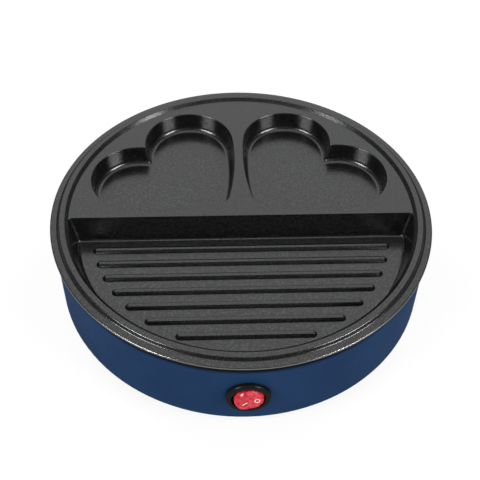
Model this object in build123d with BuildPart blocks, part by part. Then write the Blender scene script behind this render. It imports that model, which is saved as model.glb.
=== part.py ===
# Round electric grill pan with a cast two-level cooking plate on a drawn steel housing.
# Origin: centre of the resting plane under the feet. +Z up, the switch faces -Y, the cord leaves at +Y.
import os
from math import acos, atan2, cos, degrees, hypot, pi, radians, sin, sqrt, tan

from build123d import *

os.makedirs("parts", exist_ok=True)

# Clearances
slip = 0.3
seat_gap = 0.05
thread_gap = 0.05

# Heights from the table upwards
foot_height = 5.0
base_thickness = 1.0
housing_height = 45.9
gasket_thickness = 1.2
lip_thickness = 2.1
ridge_height = 1.75
housing_bottom = foot_height + base_thickness
housing_top = housing_bottom + housing_height
lip_underside = housing_top + gasket_thickness
deck = lip_underside + lip_thickness
ridge_top = deck + ridge_height

# Housing, a drawn wall with a flange turned in at the bottom and a rounded shoulder at the top
housing_radius = 103.4
housing_wall = 1.0
housing_corner = 4.0
housing_flange = 13.4
housing_shoulder = 5.0
mouth_land = 0.4
housing_flange_radius = housing_radius - housing_flange
housing_inner_radius = housing_radius - housing_wall
mouth_radius = housing_radius - housing_shoulder - mouth_land

# Cooking plate, seen from above
lip_overhang = 1.6
lip_width = 3.8
riser_run = 1.3
ridge_width = 2.9
ridge_run = 1.9
rim_radius = housing_radius + lip_overhang
riser_foot_radius = rim_radius - lip_width
ridge_outer_radius = riser_foot_radius - riser_run
ridge_inner_radius = ridge_outer_radius - ridge_width
basin_radius = ridge_inner_radius - ridge_run
plate_wall = 3.0
skirt_thickness = 4.5
skirt_depth = 5.2
skirt_play = 0.3
skirt_radius = mouth_radius - skirt_play
lip_fall = 0.6
lip_rounding = 0.75
lip_lower_rounding = 0.6
ridge_rounding = 0.9
gasket_width = 3.8

# Griddle recess in the front half
griddle_depth = 14.8
griddle_draft = 14.0
step_top_y = -4.3
griddle_corner = 1.2
step_corner = 2.0
griddle_floor = deck - griddle_depth
griddle_spread = tan(radians(griddle_draft))
griddle_floor_radius = basin_radius - griddle_depth * griddle_spread
tub_underside = griddle_floor - plate_wall
tub_rounding = 3.5

# Ribs on the griddle floor, spaced evenly from the step to the front end of their circle
rib_count = 7
first_rib_gap = 11.4
rib_margin = 8.5
last_rib_margin = 8.0
rib_width = 3.4
rib_height = 1.9
rib_draft = 12.0
rib_rounding = 0.7
first_rib_y = step_top_y - first_rib_gap
rib_circle = griddle_floor_radius - rib_margin
rib_pitch = (rib_circle - last_rib_margin + first_rib_y) / (rib_count - 1)

# Heart-shaped wells in the rear half, as large as the margins to each other, the step and the ridge allow
heart_turn = 45.0
well_gap = 6.76
well_step_margin = 5.73
well_ridge_margin = 4.3
lobe_spread = 0.818
tip_reach = 1.585
flank_bulge = 5.81
tip_radius = 9.0
cleft_rounding = 1.0
lobe_start_y = step_top_y + well_step_margin
lobe_limit = basin_radius - well_ridge_margin
lobe_across = 1 + 2 * lobe_spread * cos(radians(heart_turn))
lobe_sum = well_gap / 2 * lobe_across + lobe_start_y + lobe_limit
lobe_rest = lobe_limit**2 - (well_gap / 2) ** 2 - lobe_start_y**2
lobe_radius = (sqrt(lobe_sum**2 + lobe_across**2 * lobe_rest) - lobe_sum) / lobe_across**2
lobe_offset = lobe_spread * lobe_radius
tip_distance = tip_reach * lobe_radius
flank_radius = flank_bulge * lobe_radius
heart_x = well_gap / 2 + lobe_radius + lobe_offset * cos(radians(heart_turn))
heart_y = lobe_start_y + lobe_radius + lobe_offset * sin(radians(heart_turn))
well_depth = 11.4
well_draft = 8.0
well_floor_rounding = 3.0
well_edge_rounding = 0.7
well_floor = deck - well_depth
well_underside = well_floor - plate_wall
well_spread = tan(radians(well_draft))
web_thickness = 8.0
web_length = 70.0

# Posts that tie the plate, the reflector and the base together
post_margin = 17.1
post_circle = basin_radius - post_margin
post_angles = [45, 135, 225, 315]
boss_radius = 5.5
boss_height = 4.0
boss_bottom = tub_underside - boss_height
stud_radius = 2.0
stud_length = 5.0
post_across_flats = 7.0
upper_post_length = 7.8

# Heating element, a tube nearly closed into a ring, with two straight ends at the rear
element_to_posts = 17.0
element_radius = post_circle - element_to_posts
element_tube_radius = 3.25
element_end_x = 16.0
element_end_gap = 22.4
element_end_y = housing_inner_radius - element_end_gap
element_bend = 10.0
element_channel_gap = 0.08
element_land_width = 11.0
element_land_cover = 0.1
element_level = tub_underside - element_land_cover - element_tube_radius - element_channel_gap
element_land_bottom = element_level - 0.8
bead_radius = 2.9
bead_length = 5.0
pin_radius = 1.1
pin_length = 6.0

# Reflector dish between the upper and the lower posts
reflector_thickness = 0.6
reflector_top = boss_bottom - upper_post_length
reflector_level = reflector_top - reflector_thickness
reflector_margin = 8.0
reflector_radius = post_circle + reflector_margin
reflector_rim = 4.0
reflector_notch_width = 44.0
reflector_notch_depth = 22.0

# Rocker switch in the front wall
switch_height = 22.8
switch_z = housing_bottom + switch_height
bezel_radius = 11.5
bezel_thickness = 2.4
bezel_rounding = 1.1
barrel_radius = 9.9
barrel_depth = 6.6
barrel_floor = 1.2
barrel_wall = 1.2
cavity_radius = barrel_radius - barrel_wall
cage_width = 17.0
cage_height = 15.0
cage_length = 10.4
cage_wall = 1.4
rocker_margin = 1.0
rocker_radius = cavity_radius - rocker_margin
rocker_ball_radius = cavity_radius - slip
rocker_half_angle = 10.0
rocker_back = 1.6
rocker_proud = 0.6
pivot_depth = 3.4
pivot_radius = 1.1
pivot_setback = 0.4
pivot_length = barrel_radius - pivot_setback
wing_reach = 0.8
wing_height = 5.0
wing_start = 1.7
wing_end_reach = 0.1
bezel_chamfer = 0.4
rocker_rounding = 0.3
rocker_hollow_radius = 5.2
rocker_skin = 1.6
rocker_pin_root = 6.0
stem_radius = 1.3
stem_reach = 6.0
blade_height = 4.8
blade_thickness = 0.8
blade_places = [-5.0, 0.0, 5.0]
blade_inner_length = 5.0
blade_outer_length = 7.0
bezel_front = -housing_radius - bezel_thickness
pivot_y = bezel_front + pivot_depth

# Cord gland in the rear wall
gland_height = 14.0
gland_z = housing_bottom + gland_height
gland_head_radius = 8.0
gland_head_length = 5.2
gland_thread_radius = 6.0
gland_thread_length = 11.0
gland_bore_radius = 3.5
gland_nut_flats = 17.0
gland_nut_length = 4.0
gland_rounding = 1.5
gland_flare = 1.0

# Rubber feet and the screws that hold them to the posts
foot_radius = 9.0
foot_top_radius = 8.0
foot_rounding = 0.6
foot_names = ["foot_rear_right", "foot_rear_left", "foot_front_left", "foot_front_right"]
foot_screw_head_radius = 3.8
foot_screw_head_height = 2.4
foot_counterbore_depth = 2.9
foot_screw_length = 12.0

# Base plate with a raised middle inside the feet, and its screws into the flange of the housing
base_setback = 6.4
base_rise = 2.5
base_slope = 5.0
foot_margin = 4.0
base_radius = housing_radius - base_setback
base_rise_radius = post_circle - foot_radius - foot_margin - base_slope
base_screw_circle = (housing_flange_radius + base_radius) / 2
base_screw_radius = 1.4
base_screw_head_radius = 2.8
base_screw_head_height = 1.8
base_screw_length = 6.0
base_screw_angles = [0, 90, 180, 270]
vent_count = 12
vent_length = 14.0
vent_width = 3.0

# Thermostat and thermal fuse on pads under the griddle floor
pad_height = 1.5
pad_level = tub_underside - pad_height
thermostat_screw_reach = 12.0
thermostat_pad_length = 33.0
thermostat_margin = 15.0
thermostat_x = thermostat_pad_length / 2 + thermostat_margin + element_land_width / 2 - element_radius
thermostat_y = -28.0
thermostat_pad_width = 19.0
thermostat_cap_radius = 8.0
thermostat_cap_height = 2.5
thermostat_body_radius = 7.4
thermostat_body_height = 4.8
thermostat_ear_thickness = 0.8
thermostat_ear_width = 8.0
spade_width = 6.3
spade_length = 13.0
spade_start = 2.0
fuse_radius = 2.0
fuse_length = 12.0
fuse_lead_radius = 0.6
fuse_lead_length = 7.0
sleeve_radius = 2.6
sleeve_length = 17.0
clip_thickness = 0.8
clip_width = 8.0
clip_screw_reach = 7.5
clip_pad_length = 24.0
clip_pad_width = 11.0
fuse_margin = 22.0
fuse_x = element_radius - element_land_width / 2 - fuse_margin - clip_pad_width / 2
fuse_y = -22.0
small_screw_radius = 1.5
small_screw_head_radius = 2.7
small_screw_head_height = 1.7
small_screw_bite = 3.2

# Terminal block and earth screw on the raised middle of the base
block_length = 30.0
block_width = 16.0
block_height = 11.0
block_corner = 1.5
block_edge = 0.6
block_margin = 12.0
block_y = base_rise_radius - block_margin - block_width / 2
block_pitch = 9.0
block_ways = 3
block_bore_level = 4.5
insert_radius = 2.6
insert_bore_radius = 1.7
insert_setback = 1.0
block_screw_reach = 4.5
block_screw_length = 13.0
clamp_screw_radius = 1.3
clamp_screw_head_radius = 2.2
clamp_screw_head_height = 1.5
clamp_screw_length = 3.2
vent_margin = 3.0
vent_circle = block_y - vent_margin - vent_length / 2
earth_gap = 19.0
earth_x = block_length / 2 + earth_gap
earth_y = block_y - block_width / 2 - slip
earth_screw_radius = 2.0
earth_screw_head_radius = 3.6
earth_screw_head_height = 2.2
earth_screw_length = 4.0
earth_tag_radius = 4.2
earth_tag_tongue = 9.0
earth_tag_width = 4.0
earth_tag_thickness = 0.8
earth_barrel_radius = 1.9
earth_barrel_length = 6.0
earth_barrel_overlap = 1.0

# Inner wires and the heights at which they lie
wire_radius = 1.1
wire_bend_share = 0.45
wire_lift = 2.5
wire_notch_run = 6.0
wire_side_run = 13.0
wire_lead_run = 10.0
wire_wall_run = 7.0
wire_earth_run = 24.0
wire_high = reflector_top + wire_lift

# Cylinders stand on a level or hang from it
upright = (Align.CENTER, Align.CENTER, Align.MIN)
hanging = (Align.CENTER, Align.CENTER, Align.MAX)
upside_down = (180, 0, 0)


# One half of the heart is drawn as a lobe, a long flank, half of the tip and half of the nose
# in the cleft, then mirrored. A nose of no radius leaves the cleft sharp.
def heart_outline(side, level, growth, nose):
    turn = radians(heart_turn)
    plane = Plane(
        origin=(side * heart_x, heart_y, level),
        x_dir=(cos(turn), -side * sin(turn), 0),
        z_dir=(0, 0, 1),
    )
    lobe_to_tip = hypot(lobe_offset, tip_distance)
    flank_to_lobe = flank_radius - lobe_radius
    flank_to_tip = flank_radius - tip_radius
    corner = (lobe_to_tip**2 + flank_to_tip**2 - flank_to_lobe**2) / (2 * lobe_to_tip * flank_to_tip)
    heading = atan2(tip_distance, lobe_offset) + acos(corner)
    flank_x = flank_to_tip * cos(heading)
    flank_y = flank_to_tip * sin(heading) - tip_distance
    lobe_start = degrees(atan2(-flank_y, lobe_offset - flank_x))
    tip_end = degrees(atan2(-tip_distance - flank_y, -flank_x))
    cleft_y = sqrt((lobe_radius + growth + nose) ** 2 - lobe_offset**2)
    lobe_end = degrees(atan2(cleft_y, -lobe_offset))
    with BuildSketch(plane, mode=Mode.PRIVATE) as outline:
        with BuildLine():
            CenterArc((lobe_offset, 0), lobe_radius + growth, lobe_start, lobe_end - lobe_start)
            CenterArc((flank_x, flank_y), flank_radius + growth, tip_end, lobe_start - tip_end)
            CenterArc((0, -tip_distance), tip_radius + growth, -90, tip_end + 90)
            if nose > 0:
                CenterArc((0, cleft_y), nose, -90, lobe_end - 90)
            mirror(about=Plane.YZ)
        make_face()
    return outline.sketch


# Tapered block between two levels, narrower at the bottom
def heart_block(side, top, bottom, growth, nose):
    with BuildPart(mode=Mode.PRIVATE) as block:
        loft(
            [
                heart_outline(side, bottom, growth - (deck - bottom) * well_spread, nose),
                heart_outline(side, top, growth - (deck - top) * well_spread, nose),
            ],
            ruled=True,
        )
    return block


# Cone cut off along the sloping step, narrower at the bottom
def griddle_block(top, bottom, growth):
    low_radius = basin_radius + growth - (deck - bottom) * griddle_spread
    high_radius = basin_radius + growth - (deck - top) * griddle_spread
    step_face = Plane(
        origin=(0, step_top_y + growth, deck),
        x_dir=(1, 0, 0),
        z_dir=(0, cos(radians(griddle_draft)), -sin(radians(griddle_draft))),
    )
    with BuildPart(mode=Mode.PRIVATE) as block:
        with Locations((0, 0, bottom)):
            Cone(low_radius, high_radius, top - bottom, align=upright)
        split(bisect_by=step_face, keep=Keep.BOTTOM)
    return block


def step_corners(block):
    """Edges of a griddle block where the step meets the round wall at its two ends."""
    ends = block.edges().group_by(Axis.X)
    return [group.sort_by(lambda edge: edge.bounding_box().size.Z)[-1] for group in (ends[0], ends[-1])]


def spots_on_circle(radius, angles, level):
    """Locations on a circle round the centre line, at a level."""
    return [Location((radius * cos(radians(angle)), radius * sin(radians(angle)), level)) for angle in angles]


def post_spots(level):
    return spots_on_circle(post_circle, post_angles, level)


def base_screw_spots(level):
    return spots_on_circle(base_screw_circle, base_screw_angles, level)


# Path of the element tube: straight end, bend, ring, bend, straight end
bend_centre_x = element_end_x + element_bend
bend_centre_y = sqrt((element_radius + element_bend) ** 2 - bend_centre_x**2)
ring_start = degrees(atan2(bend_centre_y, bend_centre_x))
with BuildLine(Plane.XY.offset(element_level)) as element_path:
    Line((element_end_x, element_end_y), (element_end_x, bend_centre_y))
    CenterArc((bend_centre_x, bend_centre_y), element_bend, 180, ring_start)
    CenterArc((0, 0), element_radius, ring_start, -(180 + 2 * ring_start))
    CenterArc((-bend_centre_x, bend_centre_y), element_bend, -ring_start, ring_start)
    Line((-element_end_x, bend_centre_y), (-element_end_x, element_end_y))


def element_tube(radius):
    start = Plane(origin=element_path.line @ 0, z_dir=element_path.line % 0)
    with BuildPart(mode=Mode.PRIVATE) as tube:
        with BuildSketch(start):
            Circle(radius)
        sweep(path=element_path.line)
    return tube


ear_spots = [
    (thermostat_x - thermostat_screw_reach, thermostat_y),
    (thermostat_x + thermostat_screw_reach, thermostat_y),
]
clip_screw_spots = [(fuse_x, fuse_y - clip_screw_reach), (fuse_x, fuse_y + clip_screw_reach)]
griddle_wall = plate_wall / cos(radians(griddle_draft))
with BuildPart() as tub:
    add(griddle_block(deck - lip_thickness / 2, tub_underside, griddle_wall).part)
    fillet(step_corners(tub), step_corner + plate_wall)
    fillet(tub.faces().sort_by(Axis.Z)[0].edges(), tub_rounding)
    Cylinder(skirt_radius, 3 * deck, mode=Mode.INTERSECT)

with BuildPart() as griddle_cutter:
    add(griddle_block(deck + ridge_height / 2, griddle_floor, 0).part)
    fillet(step_corners(griddle_cutter), step_corner)
    fillet(griddle_cutter.faces().sort_by(Axis.Z)[0].edges(), griddle_corner)

wells = []
pots = []
for side in (1, -1):
    with BuildPart() as well:
        add(heart_block(side, deck + ridge_height / 2, well_floor, 0, cleft_rounding).part)
        fillet(well.faces().sort_by(Axis.Z)[0].edges(), well_floor_rounding)
    wells.append(well.part)
    pots.append(heart_block(side, deck - lip_thickness / 2, well_underside, plate_wall, 0).part)

with BuildPart() as rib_row:
    for number in range(rib_count):
        rib_y = first_rib_y - number * rib_pitch
        half_length = sqrt(rib_circle**2 - rib_y**2)
        with BuildSketch(Plane.XY.offset(griddle_floor - seat_gap)):
            with Locations((0, rib_y)):
                SlotOverall(2 * half_length, rib_width)
    extrude(amount=rib_height + seat_gap, taper=rib_draft)
    fillet(rib_row.faces().group_by(Axis.Z)[-1].edges(), rib_rounding)

with BuildPart() as grill_plate:
    with BuildSketch(Plane.XZ):
        with BuildLine():
            FilletPolyline(
                (0, lip_underside),
                (rim_radius, lip_underside),
                (rim_radius, deck - lip_fall),
                (riser_foot_radius, deck),
                (ridge_outer_radius, ridge_top),
                (ridge_inner_radius, ridge_top),
                (basin_radius, deck),
                radius=[lip_lower_rounding, lip_rounding] + 3 * [ridge_rounding],
            )
            Line((basin_radius, deck), (0, deck))
            Line((0, deck), (0, lip_underside))
        make_face()
    revolve(axis=Axis.Z)
    # Locating skirt and the land that holds the element
    with BuildSketch(Plane.XY.offset(lip_underside - skirt_depth)):
        Circle(skirt_radius)
        Circle(skirt_radius - skirt_thickness, mode=Mode.SUBTRACT)
    extrude(amount=skirt_depth + seat_gap)
    add(tub.part)
    for pot in pots:
        add(pot)
    with BuildSketch(Plane.XY.offset(element_land_bottom)):
        Circle(element_radius + element_land_width / 2)
        Circle(element_radius - element_land_width / 2, mode=Mode.SUBTRACT)
    extrude(amount=lip_underside + seat_gap - element_land_bottom)
    # Web between the two pots
    with Locations((0, heart_y, well_underside)):
        Box(web_thickness, web_length, lip_underside - well_underside + seat_gap, align=upright)
    # Bosses and pads
    with Locations(*post_spots(boss_bottom)):
        Cylinder(boss_radius, lip_underside + seat_gap - boss_bottom, align=upright)
    with BuildSketch(Plane.XY.offset(pad_level)):
        with Locations((thermostat_x, thermostat_y)):
            SlotOverall(thermostat_pad_length, thermostat_pad_width)
        with Locations((fuse_x, fuse_y)):
            SlotOverall(clip_pad_length, clip_pad_width, rotation=90)
    extrude(amount=pad_height + seat_gap)
    # Hollows
    add(griddle_cutter.part, mode=Mode.SUBTRACT)
    for hollow in wells:
        add(hollow, mode=Mode.SUBTRACT)
    add(rib_row.part)
    add(element_tube(element_tube_radius + element_channel_gap).part, mode=Mode.SUBTRACT)
    with Locations(*post_spots(boss_bottom)):
        Cylinder(stud_radius + thread_gap, stud_length + slip, align=upright, mode=Mode.SUBTRACT)
    with Locations(*[(x, y, pad_level) for x, y in ear_spots + clip_screw_spots]):
        Cylinder(small_screw_radius + thread_gap, small_screw_bite + slip, align=upright, mode=Mode.SUBTRACT)
    # Rounded edges round the wells
    deck_face = grill_plate.faces().filter_by(Plane.XY).filter_by_position(Axis.Z, deck - slip, deck + slip)
    deck_face = deck_face.sort_by(SortBy.AREA)[-1]
    fillet([edge for wire in deck_face.inner_wires() for edge in wire.edges()], well_edge_rounding)
grill_plate.part.label = "grill_plate"
export_step(grill_plate.part, "parts/grill_plate.step")


# Drawn housing, its rounded shoulder open at the top and its flange turned in above the base
def wall_plane(height, facing):
    """Plane on the housing's outer face at a height, its normal outwards along Y."""
    return Plane(origin=(0, facing * housing_radius, height), x_dir=(-facing, 0, 0), z_dir=(0, facing, 0))


switch_plane = wall_plane(switch_z, -1)
gland_plane = wall_plane(gland_z, 1)

with BuildPart() as housing:
    with BuildSketch(Plane.XZ):
        with BuildLine():
            outer_wall = FilletPolyline(
                (housing_flange_radius, housing_bottom),
                (housing_radius, housing_bottom),
                (housing_radius, housing_top),
                (mouth_radius, housing_top),
                radius=[housing_corner, housing_shoulder],
            )
            inner_wall = FilletPolyline(
                (mouth_radius, housing_top - housing_wall),
                (housing_inner_radius, housing_top - housing_wall),
                (housing_inner_radius, housing_bottom + housing_wall),
                (housing_flange_radius, housing_bottom + housing_wall),
                radius=[housing_shoulder - housing_wall, housing_corner - housing_wall],
            )
            Line(outer_wall @ 1, inner_wall @ 0)
            Line(inner_wall @ 1, outer_wall @ 0)
        make_face()
    revolve(axis=Axis.Z)
    with BuildSketch(switch_plane):
        Circle(barrel_radius + slip / 2)
    extrude(amount=-housing_radius / 2, mode=Mode.SUBTRACT)
    with BuildSketch(gland_plane):
        Circle(gland_thread_radius + slip / 2)
    extrude(amount=-housing_radius / 2, mode=Mode.SUBTRACT)
    with Locations(*base_screw_spots(housing_bottom)):
        Cylinder(base_screw_radius + thread_gap, 3 * housing_wall, mode=Mode.SUBTRACT)
housing.part.label = "housing"
export_step(housing.part, "parts/housing.step")

# Heat-resistant ring between the shoulder of the housing and the lip of the plate
with BuildPart() as rim_gasket:
    with BuildSketch(Plane.XY.offset(housing_top)):
        Circle(skirt_radius + seat_gap + gasket_width)
        Circle(skirt_radius + seat_gap, mode=Mode.SUBTRACT)
    extrude(amount=gasket_thickness)
rim_gasket.part.label = "rim_gasket"
export_step(rim_gasket.part, "parts/rim_gasket.step")

# Pressed base plate
base_deck = foot_height + base_rise + base_thickness
block_screw_spots = [(-block_screw_reach, block_y), (block_screw_reach, block_y)]
with BuildPart() as base_plate:
    with BuildSketch(Plane.XZ):
        with BuildLine():
            pressed = Polyline(
                (0, foot_height + base_rise),
                (base_rise_radius, foot_height + base_rise),
                (base_rise_radius + base_slope, foot_height),
                (base_radius, foot_height),
                (base_radius, foot_height + base_thickness),
                (base_rise_radius + base_slope, foot_height + base_thickness),
                (base_rise_radius, foot_height + base_rise + base_thickness),
                (0, foot_height + base_rise + base_thickness),
                close=True,
            )
        make_face()
    revolve(axis=Axis.Z)
    with Locations(*post_spots(foot_height)):
        Cylinder(stud_radius + slip / 2, 4 * base_thickness, mode=Mode.SUBTRACT)
    with Locations(*base_screw_spots(foot_height)):
        Cylinder(base_screw_radius + slip / 2, 4 * base_thickness, mode=Mode.SUBTRACT)
    with BuildSketch(Plane.XY.offset(foot_height)):
        with PolarLocations(vent_circle, vent_count):
            SlotOverall(vent_length, vent_width)
    extrude(amount=base_rise + 2 * base_thickness, mode=Mode.SUBTRACT)
    with Locations(*[(x, y, base_deck) for x, y in block_screw_spots]):
        Cylinder(small_screw_radius + thread_gap, 4 * base_thickness, mode=Mode.SUBTRACT)
    with Locations((earth_x, earth_y, base_deck)):
        Cylinder(earth_screw_radius + thread_gap, 4 * base_thickness, mode=Mode.SUBTRACT)
base_plate.part.label = "base_plate"
export_step(base_plate.part, "parts/base_plate.step")

# Heating element, its end beads and its pins
heating_element = element_tube(element_tube_radius)
heating_element.part.label = "heating_element"
export_step(heating_element.part, "parts/heating_element.step")


def end_planes(distance):
    """Planes square to the two element ends, a distance beyond them."""
    return [
        Plane(origin=(side * element_end_x, element_end_y + distance, element_level), z_dir=(0, 1, 0))
        for side in (-1, 1)
    ]


with BuildPart() as element_beads:
    with BuildSketch(*end_planes(0)):
        Circle(bead_radius)
    extrude(amount=bead_length)
    fillet(element_beads.faces().sort_by(Axis.Y)[-2:].edges(), bead_radius / 4)
element_beads.part.label = "element_beads"
export_step(element_beads.part, "parts/element_beads.step")

with BuildPart() as element_pins:
    with BuildSketch(*end_planes(bead_length)):
        Circle(pin_radius)
    extrude(amount=pin_length)
    chamfer(element_pins.faces().sort_by(Axis.Y)[-2:].edges(), pin_radius / 3)
element_pins.part.label = "element_pins"
export_step(element_pins.part, "parts/element_pins.step")

# Reflector dish with a notch for the switch
with BuildPart() as reflector:
    with BuildSketch(Plane.XZ):
        with BuildLine():
            FilletPolyline(
                (0, reflector_level),
                (reflector_radius, reflector_level),
                (reflector_radius, reflector_top + reflector_rim),
                radius=2 * reflector_thickness,
            )
            offset(amount=reflector_thickness, side=Side.LEFT, closed=True)
        make_face()
    revolve(axis=Axis.Z)
    with Locations(*post_spots(reflector_level)):
        Cylinder(stud_radius + slip / 2, 4 * reflector_thickness, mode=Mode.SUBTRACT)
    with Locations((0, -reflector_radius, reflector_level)):
        Box(reflector_notch_width, 2 * reflector_notch_depth, 4 * reflector_rim, mode=Mode.SUBTRACT)
reflector.part.label = "reflector"
export_step(reflector.part, "parts/reflector.step")

# Posts from the plate down to the reflector, each with a stud at both ends
hex_radius = post_across_flats / 2 / cos(radians(30))
with BuildPart() as upper_posts:
    for spot in post_spots(reflector_top):
        with BuildSketch(Plane(spot)):
            RegularPolygon(hex_radius, 6)
    extrude(amount=boss_bottom - reflector_top)
    with Locations(*post_spots(boss_bottom)):
        Cylinder(stud_radius, stud_length, align=upright)
    with Locations(*post_spots(reflector_top)):
        Cylinder(stud_radius, stud_length, align=hanging)
upper_posts.part.label = "upper_posts"
export_step(upper_posts.part, "parts/upper_posts.step")

base_top = foot_height + base_thickness
with BuildPart() as lower_posts:
    for spot in post_spots(base_top):
        with BuildSketch(Plane(spot)):
            RegularPolygon(hex_radius, 6)
    extrude(amount=reflector_level - base_top)
    with Locations(*post_spots(reflector_level)):
        Cylinder(stud_radius + thread_gap, stud_length + slip, align=hanging, mode=Mode.SUBTRACT)
    with Locations(*post_spots(base_top)):
        Cylinder(stud_radius + thread_gap, foot_screw_length, align=upright, mode=Mode.SUBTRACT)
lower_posts.part.label = "lower_posts"
export_step(lower_posts.part, "parts/lower_posts.step")


def circles(piece, radius):
    """Circular edges of a piece that have the radius."""
    return piece.edges().filter_by(GeomType.CIRCLE).filter_by(lambda edge: abs(edge.radius - radius) < 0.001)


def pan_screw(shank_radius, shank_length, head_radius, head_height):
    """Pan-head screw pointing up, the underside of its head at the origin."""
    with BuildPart(mode=Mode.PRIVATE) as screw:
        Cylinder(head_radius, head_height, align=hanging)
        fillet(screw.edges().sort_by(Axis.Z)[0], head_height / 3)
        with BuildSketch(Plane.XY.offset(-head_height)):
            Rectangle(1.2 * head_radius, 0.3 * head_radius)
            Rectangle(0.3 * head_radius, 1.2 * head_radius)
        extrude(amount=head_height / 2, mode=Mode.SUBTRACT)
        Cylinder(shank_radius, shank_length, align=upright)
    return screw.part


# Rubber feet, one under each post, and their screws
for name, spot in zip(foot_names, post_spots(0)):
    with BuildPart() as foot:
        with Locations(spot):
            Cone(foot_radius, foot_top_radius, foot_height, align=upright)
            fillet(foot.edges().sort_by(Axis.Z)[0], foot_rounding)
            Cylinder(foot_screw_head_radius + slip, foot_counterbore_depth, align=upright, mode=Mode.SUBTRACT)
            Cylinder(stud_radius + slip / 2, foot_height, align=upright, mode=Mode.SUBTRACT)
    foot.part.label = name
    export_step(foot.part, f"parts/{name}.step")

with BuildPart() as foot_screws:
    with Locations(*post_spots(foot_counterbore_depth)):
        add(pan_screw(stud_radius, foot_screw_length, foot_screw_head_radius, foot_screw_head_height))
foot_screws.part.label = "foot_screws"
export_step(foot_screws.part, "parts/foot_screws.step")

with BuildPart() as base_screws:
    with Locations(*base_screw_spots(foot_height)):
        add(pan_screw(base_screw_radius, base_screw_length, base_screw_head_radius, base_screw_head_height))
base_screws.part.label = "base_screws"
export_step(base_screws.part, "parts/base_screws.step")

# Switch body: bezel, barrel through the wall and cage for the contacts
with BuildPart() as switch_body:
    with BuildSketch(switch_plane):
        Circle(bezel_radius)
    extrude(amount=bezel_thickness)
    fillet(switch_body.edges().sort_by(Axis.Y)[0], bezel_rounding)
    with BuildSketch(switch_plane):
        Circle(barrel_radius)
    extrude(amount=-barrel_depth)
    with BuildSketch(switch_plane.offset(-barrel_depth)):
        RectangleRounded(cage_width, cage_height, cage_wall)
    extrude(amount=-cage_length)
    # Snap wings that catch behind the wall
    with BuildSketch(Plane(origin=(0, -housing_radius, switch_z))):
        with BuildLine():
            Polyline(
                (barrel_radius - wing_reach, wing_start),
                (barrel_radius + wing_reach, wing_start),
                (barrel_radius + wing_end_reach, barrel_depth),
                (barrel_radius - wing_reach, barrel_depth),
                close=True,
            )
        make_face()
        mirror(about=Plane.YZ)
    extrude(amount=wing_height / 2, both=True)
    # Room for the rocker, then for the contacts
    with BuildSketch(switch_plane.offset(bezel_thickness)):
        Circle(cavity_radius)
    extrude(amount=-(bezel_thickness + barrel_depth - barrel_floor), mode=Mode.SUBTRACT)
    with BuildSketch(switch_plane.offset(bezel_thickness)):
        Rectangle(cage_width - 2 * cage_wall, cage_height - 2 * cage_wall)
    extrude(amount=-(bezel_thickness + barrel_depth + cage_length - cage_wall), mode=Mode.SUBTRACT)
    chamfer(circles(switch_body, cavity_radius).sort_by(Axis.Y)[0], bezel_chamfer)
    with Locations((0, pivot_y, switch_z)):
        Cylinder(pivot_radius + thread_gap, 2 * barrel_radius, mode=Mode.SUBTRACT)
    with BuildSketch(switch_plane.offset(-barrel_depth - cage_length)):
        with Locations(*[(x, 0) for x in blade_places]):
            Rectangle(blade_thickness + 2 * seat_gap, blade_height + 2 * seat_gap)
    extrude(amount=cage_wall, mode=Mode.SUBTRACT)
switch_body.part.label = "switch_body"
export_step(switch_body.part, "parts/switch_body.step")

# Rocker, stored in its off position with the left half standing out
rocker_tilt = radians(rocker_half_angle)
rocker_plane = Plane(
    origin=(0, pivot_y, switch_z),
    x_dir=(cos(rocker_tilt), sin(rocker_tilt), 0),
    z_dir=(0, 0, 1),
)
rocker_front = pivot_depth + rocker_proud
rocker_blank = 1.2 * rocker_ball_radius
wing_tip = rocker_front + rocker_blank * tan(rocker_tilt)
with BuildPart() as switch_rocker:
    with BuildSketch(rocker_plane):
        with BuildLine():
            Polyline(
                (0, -rocker_front),
                (rocker_blank, -wing_tip),
                (rocker_blank, rocker_back),
                (-rocker_blank, rocker_back),
                (-rocker_blank, -wing_tip),
                close=True,
            )
        make_face()
    extrude(amount=rocker_blank, both=True)
    with Locations(rocker_plane):
        Sphere(rocker_ball_radius, mode=Mode.INTERSECT)
        Cylinder(rocker_radius, 4 * rocker_blank, rotation=(90, 0, 0), mode=Mode.INTERSECT)
    fillet(switch_rocker.faces().sort_by(Axis.Y)[:2].edges(), rocker_rounding)
    # Hollow from behind, with the stem that works the contacts, and the pivot pins
    hollow_plane = Plane(
        origin=rocker_plane.from_local_coords((0, rocker_back, 0)),
        x_dir=rocker_plane.x_dir,
        z_dir=rocker_plane.y_dir,
    )
    with BuildSketch(hollow_plane):
        Circle(rocker_hollow_radius)
    extrude(amount=-(rocker_back + rocker_front - rocker_skin), mode=Mode.SUBTRACT)
    with BuildSketch(hollow_plane.offset(stem_reach - rocker_back)):
        Circle(stem_radius)
    extrude(amount=-(stem_reach + rocker_front - rocker_skin / 2))
    for direction in (1, -1):
        with BuildSketch(rocker_plane.offset(direction * rocker_pin_root)):
            Circle(pivot_radius)
        extrude(amount=direction * (pivot_length - rocker_pin_root))
switch_rocker.part.label = "switch_rocker"
export_step(switch_rocker.part, "parts/switch_rocker.step")

# Spade terminals of the switch, through slots in the back of its cage
with BuildPart() as switch_terminals:
    with BuildSketch(switch_plane.offset(-barrel_depth - cage_length - blade_outer_length)):
        with Locations(*[(x, 0) for x in blade_places]):
            Rectangle(blade_thickness, blade_height)
    extrude(amount=blade_outer_length + blade_inner_length)
switch_terminals.part.label = "switch_terminals"
export_step(switch_terminals.part, "parts/switch_terminals.step")

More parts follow.
